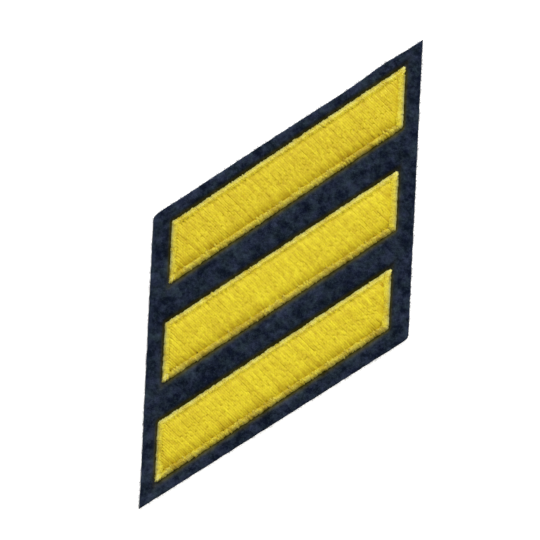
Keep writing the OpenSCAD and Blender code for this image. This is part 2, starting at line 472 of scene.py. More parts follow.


# %% [markdown]
# ## Gold thread
# The thread is a shiny two-ply filament. One flat colour would look like plastic, because each real
# stitch catches the light a little differently. So every strand has its own shade, a drift stretched
# along the rows makes runs of them paler or deeper, and streaks and a grain break up each one. The
# twist is a wave round the strand: sin(along + angle), from the angle's sine and cosine, has no seam;
# it makes the bump, and in the colour it is a painted glint. The value rim brings in a second colour
# above zero, and the deep one below it. The second is a painted shade in the filling's needle holes,
# or a painted highlight on the turn over the border's edge; below zero it is a painted deeper shade
# towards each filling's lower side.

# %% Thread material
ROW_HEADING = np.radians(-41.4)
TWIST_LENGTH, TWIST_GLINT = 0.7, 0.06
DRIFT_LONG, DRIFT_WIDE = 6.0, 1.7
GRAIN_SCALE = 4000.0
STREAK_ALONG, STREAK_APART = 0.85, 60.0
THREAD_MIDDLE = 0.555
# Painted highlight on the border's outer turn, and painted shade in the filling's needle holes.
PAINTED_RIM_HIGHLIGHT = (0.86, 0.85, 0.30, 1)
NEEDLE_SHADE = (0.42, 0.32, 0.006, 1)


def thread_material(name, deep, bright, rim_colour, each, grain, wander, roughness, specular, sheen):
    """Colour goes from deep to bright with the sum of shade times each, drift times wander, fine
    noise times grain, streaks and twist, a painted glint. Then rim changes it: a painted shade or a
    painted highlight."""
    material, tree = new_material(name)
    shade, along, rim = (mesh_value(tree, key) for key in ("shade", "along", "rim"))
    around = mesh_value(tree, "around", output=1)
    place = node(tree, "ShaderNodeTexCoord", output=3)
    cos_turn, sin_turn = (node(tree, "ShaderNodeSeparateXYZ", None, {0: around}, k) for k in (0, 1))
    phase = along * (2 * np.pi / TWIST_LENGTH)
    twist = phase.math("SINE") * cos_turn + phase.math("COSINE") * sin_turn
    stretch = (DRIFT_LONG * MM, DRIFT_WIDE * MM, DRIFT_LONG * MM)
    lay = node(tree, "ShaderNodeMapping", {"vector_type": "TEXTURE"},
               {"Vector": place, "Rotation": (0, 0, ROW_HEADING), "Scale": stretch})
    drift = noise(tree, lay, 1.0, 3.0)
    fine = noise(tree, place, GRAIN_SCALE, 1.0)
    lane = node(tree, "ShaderNodeCombineXYZ", None, {0: along * STREAK_ALONG, 1: shade * STREAK_APART})
    streak = noise(tree, lane, 1.0, 2.0)
    share = (shade - 0.5) * each + (drift - 0.5) * wander + (fine - 0.5) * grain + (streak - 0.5)
    share = share + THREAD_MIDDLE + twist * TWIST_GLINT
    bump = {"Strength": 0.35, "Distance": 0.02 * MM, "Height": twist * 0.5 + fine * 0.4}
    # How much of the rim's colour, a painted shade or a painted highlight, comes in: rim, made uneven
    # by both noises.
    turned = rim * (fine * 3.0 + drift * 2.5 * wander - 0.5 - 1.25 * wander)
    colour = colour_mix(tree, turned, colour_mix(tree, share, deep, bright), rim_colour)
    finish_material(tree, {
        "Base Color": colour_mix(tree, rim * -1, colour, deep),
        "Roughness": roughness - shade * 0.1,
        "Specular IOR Level": specular,
        "Sheen Weight": sheen,
        "Sheen Roughness": 0.35,
        "Normal": node(tree, "ShaderNodeBump", None, bump),
    })
    return material


gold_fill = thread_material(
    "gold_fill", deep=(0.56, 0.375, 0.003, 1), bright=(0.96, 0.835, 0.027, 1), rim_colour=NEEDLE_SHADE,
    each=0.3, grain=0.75, wander=0.5, roughness=0.55, specular=0.35, sheen=0.03,
)
gold_satin = thread_material(
    "gold_satin", deep=(0.52, 0.37, 0.004, 1), bright=(0.835, 0.73, 0.020, 1), rim_colour=PAINTED_RIM_HIGHLIGHT,
    each=0.45, grain=2.7, wander=1.5, roughness=0.42, specular=0.45, sheen=0.18,
)
print("thread materials", gold_fill.name, gold_satin.name)

# %% [markdown]
# ## Navy felt
# Felt is a mat of tangled wool in slightly different blues. A picture of felt would repeat or blur, so
# noises make it: a rough one for its patches, a very fine one for the hairs and, raised to a high
# power, for pale specks, and a third for a hue between teal and plum. Beside the stitches a shadow is
# painted on the wool, warm with a painted reflection of the gold, and a painted light where it rolls up.

# %% Felt material
NAVY_DEEP = (0.0024, 0.0060, 0.0186, 1)
NAVY_PALE = (0.0430, 0.0640, 0.1065, 1)
TEAL_TINT = (0.945, 1.035, 0.885, 1)
PLUM_TINT = (1.050, 0.965, 1.120, 1)
# A painted shadow for the wool beside the stitches, warm with a painted reflection of the gold, and the
# same shadow where a painted light falls on it.
SHADOW = (0.0280, 0.0255, 0.0006, 1)
SHADOW_LIT = (0.0950, 0.0860, 0.0180, 1)
PATCH_SCALE, PATCH_SHARE = 420.0, 2.15
HAIR_SCALE, HAIR_SHARE = 5200.0, 0.3
SPECK_POWER, SPECK_MEAN, SPECK_SHARE = 4.0, 0.08, 1.9
TINT_SCALE, TINT_SHARE = 480.0, 5.0
LIFT_SHARE = 0.5
WOOL_MIDDLE = 0.275


def felt_material(name):
    """Colour goes from deep to pale with patches, hairs, specks and the value shade, times the tint, and
    to a painted shadow's colour beside the stitches. The value shade is a hair's own tone, and on the
    cloth a painted light where the wool rolls up."""
    material, tree = new_material(name)
    place = node(tree, "ShaderNodeTexCoord", output=3)
    shade, pressed = (mesh_value(tree, key) for key in ("shade", "pressed"))
    patch = noise(tree, place, PATCH_SCALE, 2.4, 0.92)
    hair = noise(tree, place, HAIR_SCALE, 2.0, 0.6)
    speck = hair.math("POWER", SPECK_POWER)
    share = (patch - 0.5) * PATCH_SHARE + (hair - 0.5) * HAIR_SHARE
    share = share + (speck - SPECK_MEAN) * SPECK_SHARE + shade * LIFT_SHARE + WOOL_MIDDLE
    tint = (noise(tree, place, TINT_SCALE, 2.5, 0.7, field=3.0) - 0.5) * TINT_SHARE + 0.5
    dye = colour_mix(tree, tint, TEAL_TINT, PLUM_TINT)
    wool = colour_mix(tree, share, NAVY_DEEP, NAVY_PALE)
    wool = colour_mix(tree, 1.0, wool, dye, "MULTIPLY")
    # The painted shadow's colour, paler where a painted light falls on it.
    lit = shade + (patch - 0.5) * 2.0 + (hair - 0.5)
    shadow = colour_mix(tree, lit, SHADOW, SHADOW_LIT)
    bump = {"Strength": 0.7, "Distance": 0.1 * MM, "Height": patch * 0.9 + hair * 0.5}
    finish_material(tree, {
        "Base Color": colour_mix(tree, pressed, wool, shadow),
        "Roughness": 0.93,
        "Specular IOR Level": 0.08,
        "Sheen Weight": 0.04,
        "Sheen Roughness": 0.4,
        "Sheen Tint": (0.55, 0.65, 0.9, 1),
        "Normal": node(tree, "ShaderNodeBump", None, bump),
    })
    return material


navy = felt_material("navy_felt")
print("wool material", navy.name)

# %% [markdown]
# ## The felt cloth
# The cloth is one thick sheet. A Solidify modifier would give it a square edge and the same relief on
# both sides, so it is two grids, its face and its back, which share their rim. Share u runs from left
# to right and v from the lower cut edge to the upper one. More lines are put near the cut, where the
# thickness comes up as steeply as scissors leave it.

# %% Places on the cloth
CUT_ROUND, CUT_MIDDLE = 0.5, 0.75
FRAY = 0.05
UP_FRAY = 1.3 * FRAY
WORN, WORN_REACH = 0.15, 0.6
WORN_IN, WORN_DOWN = 0.9, 0.45
RAGGED, RAGGED_FALL = 0.05, 40


def crowded(count, crowd=0.35):
    """Shares from 0 to 1, closer together near both ends: a blend of even steps and cosine steps."""
    even = np.linspace(0, 1, count)
    return mix(even, (1 - np.cos(np.pi * even)) / 2, crowd)


def felt_flat(u, v):
    """The place of a share: x between the upright ends, y between the cut edges, uneven along the
    cut, with the two wide corners worn blunt."""
    x = mix(felt_low[0] - FRAY, felt_high[0] + FRAY, u)
    y = mix(low_edge(x) - UP_FRAY, high_edge(x) + UP_FRAY, v)
    for way, cut_edge in ((-1, high_edge), (1, low_edge)):
        corner_x = way * felt_half
        pull = WORN * spot(x, y, corner_x, cut_edge(corner_x), WORN_REACH)
        x = x - WORN_IN * way * pull
        y = y + WORN_DOWN * way * pull
    inward = np.minimum(np.minimum(u, 1 - u), np.minimum(v, 1 - v))
    ragged = RAGGED * np.exp(-inward * RAGGED_FALL)
    x = x + ragged * lumps(x, y, 1.1, 5) * np.abs(2 * u - 1)
    y = y + ragged * lumps(x, y, 0.9, 6) * np.abs(2 * v - 1)
    return x, y


def cut_share(u, v):
    """How much of its thickness the felt has: 0 at the cut edge, 1 past a steep round."""
    x = mix(felt_low[0], felt_high[0], u)
    tall = (high_edge(x) - low_edge(x)) * np.cos(FELT_LOW_SLOPE)
    inward = np.minimum(2 * felt_half * np.minimum(u, 1 - u), tall * np.minimum(v, 1 - v))
    return (1 - (1 - np.clip(inward / CUT_ROUND, 0, 1)) ** 3) ** (1 / 3)


# %% Felt cloth
ACROSS_LINES, UP_LINES = 176, 250
BACK_ROUGH = 0.02


def split_corners(quads, index):
    """The four corner quads cut in two from the corner inwards, so that the face and the back share
    no edge but the rim."""
    at = [0, index.shape[1] - 2, len(quads) - index.shape[1] + 1, len(quads) - 1]
    corners = index[[0, 0, -1, -1], [0, -1, 0, -1]]
    first = (quads[at] == corners[:, None]).argmax(axis=1)
    turned = np.take_along_axis(quads[at], (first[:, None] + np.arange(4)) % 4, axis=1)
    return [np.delete(quads, at, axis=0), turned[:, [0, 1, 2]], turned[:, [0, 2, 3]]]


def felt_sheet():
    """Face and back over one grid of shares. The back has points of its own inside the rim only."""
    u, v = np.meshgrid(crowded(ACROSS_LINES), crowded(UP_LINES))
    x, y = felt_flat(u, v)
    full = cut_share(u, v)
    face_z = mix(CUT_MIDDLE, felt_face(x, y), full)
    back_z = mix(CUT_MIDDLE, BACK_ROUGH + BACK_ROUGH * lumps(x, y, 1.5, 7), full)
    face = np.stack([x, y, face_z], axis=-1)
    back = np.stack([x, y, np.maximum(back_z, 0)], axis=-1)[1:-1, 1:-1]
    face_index = np.arange(u.size).reshape(u.shape)
    back_index = face_index.copy()
    back_index[1:-1, 1:-1] = u.size + np.arange(back[..., 0].size).reshape(back.shape[:2])
    back_quads = sheet_faces(back_index)[:, [0, 3, 2, 1]]
    faces = split_corners(sheet_faces(face_index), face_index) + split_corners(back_quads, back_index)
    points = np.concatenate([face.reshape(-1, 3), back.reshape(-1, 3)])
    flat = points[:, 0], points[:, 1]
    # The cloth gets a painted shadow beside the stitches and a painted light where it rolls up.
    return part(points, faces, pressed=pressed_wool(*flat), shade=rolled_light(*flat))


felt_cloth = piece_from_parts("felt_cloth", [felt_sheet()], navy)
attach(felt_cloth, "root")
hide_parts("felt_ground")

# %% [markdown]
# ## The nap
# Loose wool hairs lie on the felt in low curls. Particle hair would grow through the stitches, so each
# hair is a path of its own, kept only if it stays clear of the bars. It curls, because its heading
# turns as it goes, and it follows the felt's height in a low arch.

# %% Nap fibres
random = np.random.default_rng(11)
HAIR_RINGS = 7
HAIR_HALF, HAIR_SINK = 0.02, 0.01
FACE_HAIRS = 3400
START_CLEAR, BAR_CLEAR, CUT_CLEAR = 0.15, 0.02, 0.1


def hairs(x, y, heading, length, curl, lift, rings):
    """Paths of hairs: equal steps, with a heading that turns by curl and wriggles as a sine, and an
    arch as high as lift."""
    share = np.linspace(0, 1, rings)
    wriggle = 0.8 * np.sin(share * 5 + curl[:, None])
    turn = heading[:, None] + curl[:, None] * (share - 0.3) + wriggle
    step = length[:, None] / (rings - 1)
    walked_x = x[:, None] + np.cumsum(np.cos(turn) * step, axis=1)
    walked_y = y[:, None] + np.cumsum(np.sin(turn) * step, axis=1)
    return walked_x, walked_y, lift[:, None] * np.sin(np.pi * share)


start_x, start_y = felt_flat(*random.uniform(0.004, 0.996, (2, FACE_HAIRS * 3)))
open_felt = np.flatnonzero(away_from_bars(start_x, start_y) > START_CLEAR)[:FACE_HAIRS]
hair_x, hair_y, arch = hairs(
    start_x[open_felt], start_y[open_felt],
    heading=random.uniform(0, 2 * np.pi, len(open_felt)),
    length=random.uniform(0.8, 2.4, len(open_felt)),
    curl=random.normal(0, 1.6, len(open_felt)),
    lift=random.uniform(0.02, 0.16, len(open_felt)),
    rings=HAIR_RINGS,
)
off_bars = away_from_bars(hair_x, hair_y) > BAR_CLEAR
off_ends = np.abs(hair_x) < felt_half - CUT_CLEAR
off_cuts = (hair_y > low_edge(hair_x) + CUT_CLEAR) & (hair_y < high_edge(hair_x) - CUT_CLEAR)
keep = (off_bars & off_ends & off_cuts).all(axis=1)
hair_z = felt_face(hair_x, hair_y) + (arch - HAIR_SINK)
hair_path = np.stack([hair_x, hair_y, hair_z], axis=-1)[keep]
taper = HAIR_HALF * np.sin(np.pi * mix(0.12, 0.88, np.linspace(0, 1, HAIR_RINGS)))
nap = strands(hair_path, taper, taper, 3, random.uniform(0, 1, len(hair_path)))
# The hairs take the painted shadow of the felt beneath them.
nap = as_wool(nap, pressed_wool(nap.points[:, 0], nap.points[:, 1]))
nap_faces = piece_from_parts("felt_nap", [nap], navy)
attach(nap_faces, "root")

# %% [markdown]
# ## Fuzz on the cut edge
# Scissors leave the ends of many fibres along the cut, so its outline is soft. Bump can't change an
# outline, so the fibres are real. Each side gets its share of them by its length, with fewer for the
# lower edge, which is cut more cleanly.

# %% Fuzz fibres
FUZZ, FUZZ_RINGS = 4200, 4
FUZZ_INSIDE = 0.12
LOW_EDGE_FUZZ = 0.45
fuzz_thin = 0.7 * HAIR_HALF * np.array([1, 1, 0.8, 0.4])

# The four sides in the order lower, right, upper, left.
slant_length = 2 * felt_half / np.cos(FELT_LOW_SLOPE)
side_lengths = np.array([slant_length, FELT_LEFT_END, slant_length, FELT_LEFT_END])
side_outward = np.array([FELT_LOW_SLOPE - np.pi / 2, 0, FELT_LOW_SLOPE + np.pi / 2, np.pi])
side_fuzz = side_lengths * np.array([LOW_EDGE_FUZZ, 1, 1, 1])

fuzz_side = random.choice(4, FUZZ, p=side_fuzz / side_fuzz.sum())
fuzz_share = random.uniform(0.002, 0.998, FUZZ)
fuzz_u = np.choose(fuzz_side, [fuzz_share, 1, fuzz_share, 0])
fuzz_v = np.choose(fuzz_side, [0, fuzz_share, 1, fuzz_share])
rim_x, rim_y = felt_flat(fuzz_u, fuzz_v)
outward = side_outward[fuzz_side]
fuzz_x, fuzz_y, arch = hairs(
    rim_x - FUZZ_INSIDE * np.cos(outward), rim_y - FUZZ_INSIDE * np.sin(outward),
    heading=outward + random.normal(0, 0.6, FUZZ),
    length=random.uniform(0.2, 0.62, FUZZ),
    curl=random.normal(0, 0.9, FUZZ),
    lift=random.uniform(-0.1, 0.1, FUZZ),
    rings=FUZZ_RINGS,
)
fuzz_z = random.uniform(0.3, 1.3, FUZZ)[:, None] + arch
fuzz_path = np.stack([fuzz_x, fuzz_y, fuzz_z], axis=-1)
fuzz = strands(fuzz_path, fuzz_thin, fuzz_thin, 3, random.uniform(-0.3, 0.7, FUZZ))
fuzz = as_wool(fuzz, np.zeros(len(fuzz.points)))
fuzz_faces = piece_from_parts("felt_edge_fuzz", [fuzz], navy)
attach(fuzz_faces, "root")

# %% [markdown]
# ## The filling's rows
# A bar is too wide for one stitch, so the machine lays each long row as two stitches, end to end, and
# moves the join from row to row. Bump could draw such rows, but it looks flat from the side, so each
# stitch is a strand. The rows are straight lines, cut off where they leave the filling, over padding
# with a broad crown.

# %% The padding's height
FILL_RISE = 0.95
# How deep and how wide the padding rounds down to the filling's left, right, lower and upper side.
DROPS = ((0.05, 1.2), (0.15, 1.3), (0.47, 1.65), (0.15, 1.7))
fill_low = SEAT + GAP


def filling_half(bar):
    """Half the filling's width between its upright ends, and half its height between its sides."""
    return bar.half_width - BORDER - GAP, bar.half_height - BORDER - GAP


def fill_height(bar, x, y):
    """The padding's height: the crown, less deep * (1 - inward / reach) squared for each side."""
    dx, q = own_place(bar, x, y)
    half_along, half_up = filling_half(bar)
    inward = half_along + dx, half_along - dx, half_up + q, half_up - q
    drop = sum(deep * np.clip(1 - far / reach, 0, 1.2) ** 2 for far, (deep, reach) in zip(inward, DROPS))
    return fill_low + FILL_RISE - drop


# %% Rows and joins
ROW_PITCH, ROW_STRAY = 0.41, 0.02
ROW_ALONG = np.array([np.cos(ROW_HEADING), np.sin(ROW_HEADING)])
ROW_ACROSS = np.array([-np.sin(ROW_HEADING), np.cos(ROW_HEADING)])
ROWS = 110
SHORTEST_ROW, ONE_STITCH_ROW = 0.1, 4.5
TUCK, TUCK_STRAY = 0.2, 0.06
LOWER_TUCK, LOWER_TUCK_STRAY = 0.45, 0.17
JOIN_REACH = 0.36
GOLDEN = 0.618


def row_spans(bar, offset):
    """Where each row enters and leaves the filling, as distances from its foot: between the upright
    ends or between the slanted sides, whichever is tighter."""
    half_along, half_up = filling_half(bar)
    foot = offset[:, None] * ROW_ACROSS
    ends = (np.array([-half_along, half_along]) - foot[:, :1]) / ROW_ALONG[0]
    slope = ROW_ALONG @ bar.across
    sides = (np.array([-half_up, half_up]) - (foot @ bar.across)[:, None]) / slope
    start = np.maximum(ends.min(axis=1), sides.min(axis=1))
    stop = np.minimum(ends.max(axis=1), sides.max(axis=1))
    return start, stop


def rows_of(bar, random):
    """The rows that cross a bar: number, offset, start and stop, the ends tucked under the border."""
    row = np.arange(-ROWS, ROWS + 1)
    offset = row * ROW_PITCH + random.normal(0, ROW_STRAY, len(row))
    start, stop = row_spans(bar, offset)
    long_enough = stop - start > SHORTEST_ROW
    row, offset, start, stop = (a[long_enough] for a in (row, offset, start, stop))
    start = start - TUCK + random.normal(0, TUCK_STRAY, len(row))
    stop = stop + LOWER_TUCK + random.normal(0, LOWER_TUCK_STRAY, len(row))
    return row, offset, start, stop


def stitch_ends(row, length, random):
    """Where each row is cut into one or two stitches, as shares of its length. The join moves by the
    golden ratio, so that joins never line up."""
    join = 0.5 + JOIN_REACH * ((row * GOLDEN) % 1 - 0.5) + random.normal(0, 0.02, len(row))
    join = np.where(length > ONE_STITCH_ROW, join, 1.0)
    first = np.stack([np.zeros(len(row)), join], axis=-1)
    last = np.stack([join, np.ones(len(row))], axis=-1)
    return first, last


# %% [markdown]
# ## Filling stitches
# Each stitch is flat thread that arches over the padding and dips into the needle hole at both ends.
# Straight, equal strands would look like a comb. So each sways and ripples in its own way, and the
# pull of its hole and the painted shade in it are its own too.

# %% Filling stitches
STITCH_RINGS, STITCH_CROWD = 10, 0.4
THREAD_HALF_WIDTH, THREAD_HALF_HEIGHT = 0.275, 0.065
SWAY, RIPPLE, WAVE, LIFT_STRAY = 0.038, 0.02, 0.03, 0.008
NEEDLE_DIP, LOWER_DIP, NEEDLE_REACH = 0.16, 0.08, 0.38
LEFT_DIP, RIGHT_DIP, END_ZONE = 0.01, 0.07, 0.6
JOIN_DIP, JOIN_DIP_REACH = 0.03, 0.2
# Painted shade: how dark the upper needle holes are, and how much deeper gold towards the lower ones.
NEEDLE_DARK, DARK_REACH = 0.4, 0.25
WARM_DARK, WARM_REACH, END_WARM = 0.36, 1.3, 0.8
# Strengths that differ from row to row: middle, spread, least and most.
HOLE = (1, 0.55, 0.1, 2.2)
# The second is the strength of the painted deeper shade towards the lower needle holes.
WARM_SHADE_STRENGTH = (0.92, 1.1, 0, 3.4)
TONE = {"lower": 0.1, "middle": 0.12, "upper": -0.25}
PULL = {"lower": 0.75, "middle": 0.75, "upper": 1.0}


def strength(random, count, middle, spread, least, most):
    """One random strength for each row, kept between least and most."""
    return np.clip(middle + random.normal(0, spread, count), least, most)


def fill_stitches(bar, seed):
    """All filling stitches of a bar: rows, then each row's one or two stitches."""
    random = np.random.default_rng(seed)
    row, offset, start, stop = rows_of(bar, random)
    length = stop - start
    first, last = stitch_ends(row, length, random)
    line, which = np.nonzero(last > first)
    a, b = first[line, which, None], last[line, which, None]

    # The path from above: along the row, with a slow sway.
    share = crowded(STITCH_RINGS, STITCH_CROWD)
    at = start[line, None] + length[line, None] * mix(a, b, share)
    phase = random.uniform(0, 2 * np.pi, (len(line), 1))
    sway = offset[line, None] + SWAY * np.sin(at * (1.5 + 0.25 * phase) + 3 * phase)
    flat = bar.middle + at[..., None] * ROW_ALONG + sway[..., None] * ROW_ACROSS
    x, y = flat[..., 0], flat[..., 1]

    # How near each point is to a needle hole, and how hard that pulls.
    from_start, to_stop = at - start[line, None], stop[line, None] - at
    near_end = np.minimum(from_start, to_stop)
    near_join = np.minimum(share, 1 - share) * (b - a) * length[line, None]
    at_end = np.abs(x - bar.middle[0]) > bar.half_width - BORDER - END_ZONE
    hole = PULL[bar.name] * strength(random, len(row), *HOLE)[line, None]
    warm_shade_strength = PULL[bar.name] * strength(random, len(row), *WARM_SHADE_STRENGTH)[line, None]
    upper_dip = np.where(at_end, LEFT_DIP, NEEDLE_DIP)
    lower_dip = np.where(at_end, RIGHT_DIP, LOWER_DIP)
    needle = np.where(from_start < to_stop, upper_dip, lower_dip) * hole

    # The height: the padding's less the dips, with waves over many stitches and ripples in each.
    dip = needle * bell(near_end / NEEDLE_REACH) + JOIN_DIP * np.exp(-near_join / JOIN_DIP_REACH)
    wave = WAVE * lumps(x, y, 2.4, seed + 1)
    phase = random.uniform(0, 2 * np.pi, (len(line), 1))
    ripple = RIPPLE * np.sin(at * (4.5 + 0.3 * phase) + phase)
    lift = random.normal(0, LIFT_STRAY, (len(line), 1)) + wave + ripple - dip
    z = fill_height(bar, x, y) - THREAD_HALF_HEIGHT + lift
    path = np.concatenate([flat, z[..., None]], axis=-1)
    width = THREAD_HALF_WIDTH * (1 - 0.2 * np.exp(-near_end / 0.2))

    # The shade: each strand's own tone. Painted shade: dark in the upper needle holes, and deeper gold
    # down towards the lower ones, and more in those at the ends.
    shade = random.uniform(0, 1, len(line)) + TONE[bar.name]
    dark = bell((from_start - TUCK) / DARK_REACH) * (1 - at_end)
    past_tuck = np.maximum(to_stop - LOWER_TUCK, 0)
    warm = bell(past_tuck / WARM_REACH) + END_WARM * at_end * bell(past_tuck / DARK_REACH)
    rim = NEEDLE_DARK * dark * hole - WARM_DARK * warm * warm_shade_strength
    return strands(path, width, THREAD_HALF_HEIGHT, 6, shade, rim)


# %% Padding under the stitches
PAD_LINES, PAD_CROWD = (40, 14), 0.7
# The pad is painted deep gold: a painted shade where it shows between the stitches.
PAD_CLEAR, PAD_BELOW, PAD_SHADE = 0.02, 0.2, -0.6


def fill_padding(bar):
    """A closed pad a little lower than the stitches: its top, its level base and a wall between."""
    half_along, half_up = filling_half(bar)
    dx = mix(-1, 1, crowded(PAD_LINES[0], PAD_CROWD)) * (half_along - PAD_CLEAR)
    q = mix(-1, 1, crowded(PAD_LINES[1], PAD_CROWD)) * (half_up - PAD_CLEAR)
    x, y = patch_place(bar, *np.meshgrid(dx, q))
    top = fill_height(bar, x, y) - PAD_BELOW
    points = np.stack([np.stack([x, y, z], axis=-1) for z in (top, np.full_like(x, fill_low))])
    index = np.arange(x.size).reshape(x.shape)
    rim = np.concatenate([index[0, :-1], index[:-1, -1], index[-1, :0:-1], index[:0:-1, 0]])
    on = np.roll(rim, -1)
    wall = np.stack([rim, rim + x.size, on + x.size, on], axis=-1)
    base = (sheet_faces(index) + x.size)[:, ::-1]
    # The pad is painted deep gold, a painted shade between the stitches.
    return part(points, [sheet_faces(index), base, wall], **plain_values(2 * x.size, PAD_SHADE))


# %% [markdown]
# ## The border's outlines
# The border is a narrow satin column: stitches side by side, each from the needle line beside the
# filling to the outer edge. Four straight columns would leave gaps at the corners. So the stitches are
# spaced evenly along the outer outline, each inner end is the nearest point of the inner one, and they
# fan round the corners by themselves.

# %% Outlines
WIDE_CORNER, SHARP_CORNER = 0.55, 0.1
ARC_STEPS = 7
SATIN_PITCH, SATIN_INSET = 0.33, 0.06
CROWDED_REACH, CUT_SHORT = 1.3, 0.4


def bar_outline(bar, inset):
    """The bar's four corners, drawn in by inset, counter-clockwise from the lower left."""
    dx = np.array([-1, 1, 1, -1]) * (bar.half_width - inset)
    q = np.array([-1, -1, 1, 1]) * (bar.half_height - inset)
    return np.stack(patch_place(bar, dx, q), axis=-1)


def rounded_outline(bar, inset):
    """The outline with an arc at each corner, tighter at the two sharp ones."""
    corner = bar_outline(bar, inset)
    back = unit(np.roll(corner, 1, axis=0) - corner)
    on = unit(np.roll(corner, -1, axis=0) - corner)
    half = np.arccos((back * on).sum(axis=-1)) / 2
    radius = np.where(half > np.pi / 4, WIDE_CORNER, SHARP_CORNER)
    inward = unit(back + on)
    centre = corner + inward * (radius / np.sin(half))[:, None]
    facing = np.arctan2(-inward[:, 1], -inward[:, 0])
    turn = facing[:, None] + (np.pi - 2 * half)[:, None] * np.linspace(-0.5, 0.5, ARC_STEPS)
    arc = np.stack([np.cos(turn), np.sin(turn)], axis=-1) * radius[:, None, None]
    return (centre[:, None] + arc).reshape(-1, 2)


def even_places(outline, pitch):
    """Points at an even pitch round a closed outline."""
    closed = np.concatenate([outline, outline[:1]])
    run = np.concatenate([[0], np.cumsum(np.linalg.norm(np.diff(closed, axis=0), axis=1))])
    count = int(run[-1] / pitch)
    at = np.arange(count) * run[-1] / count
    return np.stack([np.interp(at, run, closed[:, k]) for k in (0, 1)], axis=-1)


def nearest_on(outline, places):
    """The nearest point of a closed outline to each place: the best of the feet on its sides."""
    side = np.roll(outline, -1, axis=0) - outline
    length = (side**2).sum(axis=-1)
    share = ((places[:, None] - outline) * side).sum(axis=-1) / length
    feet = outline + np.clip(share, 0, 1)[..., None] * side
    best = np.linalg.norm(places[:, None] - feet, axis=-1).argmin(axis=1)
    return feet[np.arange(len(places)), best]


def border_places(bar):
    """Each stitch's outer and inner place, and how far apart they are. Where stitches fan round a
    corner, every other long one is cut short."""
    outer = even_places(rounded_outline(bar, SATIN_INSET), SATIN_PITCH)
    inner = nearest_on(bar_outline(bar, BORDER), outer)
    reach = np.linalg.norm(outer - inner, axis=-1)
    short = (reach > CROWDED_REACH * BORDER) & (np.arange(len(outer)) % 2 == 1)
    inner = mix(inner, outer, np.where(short, CUT_SHORT, 0.0)[:, None])
    return outer, inner, reach


# %% [markdown]
# ## Satin stitches
# The stitches turn over the border's rounded back down to the felt, and a pale highlight is painted
# there. On the real bar they are smooth and wide at the upright ends, loose below and tight above. One
# set of numbers can't give all three, so each property is a number with a change for each side, and
# counts by how much a stitch belongs to that side.

# %% The sides of a border


class Sides:
    """How much each stitch belongs to a bar's lower side, upper side and ends, by its direction."""

    def __init__(self, bar, outward):
        upward = outward[:, 1] / bar.across[1]
        self.down, self.up = np.clip(-upward, 0, 1), np.clip(upward, 0, 1)
        self.beside = (1 - self.down) * (1 - self.up)

    def blend(self, value=0.0, **changes):
        """The value, plus each side's change times how much the stitch belongs to that side."""
        for side, change in changes.items():
            value = value + change * getattr(self, side)
        return value


def satin_back(share, crest=0.45, line=0.86, power=1.8):
    """The border's height from its outer edge, share 0, to the needle line, share 1: a quarter round
    up to the crest, then a longer one down to the line."""
    rise = 1 - np.clip(1 - share / crest, 0, 1) ** power
    fall = np.sqrt(1 - np.clip((share - crest) / (1.06 - crest), 0, 1) ** 2)
    return rise * mix(line, 1, fall)


def cosine_steps(count):
    """Shares from 0 to 1, close together at both ends: half of 1 - cos(a) for even angles a."""
    return (1 - np.cos(np.linspace(0, np.pi, count))) / 2


# %% Satin stitches
SATIN_RINGS = 10
SATIN_HALF_WIDTH, SATIN_HALF_HEIGHT = 0.2, 0.1
SIDEWAYS = 0.025
SATIN_SLANT, LOWER_SLANT = 0.3, 0.14
INNER_RAGGED, LOWER_RAGGED = 0.09, 0.11
LOWER_NARROWER, END_WIDER = 0.2, 0.1
LOWER_LEAN, END_LEAN = 0.02, 0.118
TOP_LEAN = {"lower": -0.065, "middle": -0.035, "upper": 0.005}
STRAY, LEAN_STRAY, LEAN_WAVE = 0.03, 0.025, 0.06
# How much thinner the border is at the sharp tips, and how much painted highlight they get.
TIP_THIN, TIP_PALE = 0.1, 0.6
BORDER_RISE, LOWER_RISE = 0.76, 0.68
CREST, LOWER_CREST, END_CREST = 0.5, 1.0, 0.5
NEEDLE_LINE, TOP_NEEDLE_LINE = 0.93, 0.68
SATIN_LIFT, SATIN_WAVE = 0.025, 0.05
# How far the painted highlight reaches in from the outer edge.
RIM_REACH = 0.26


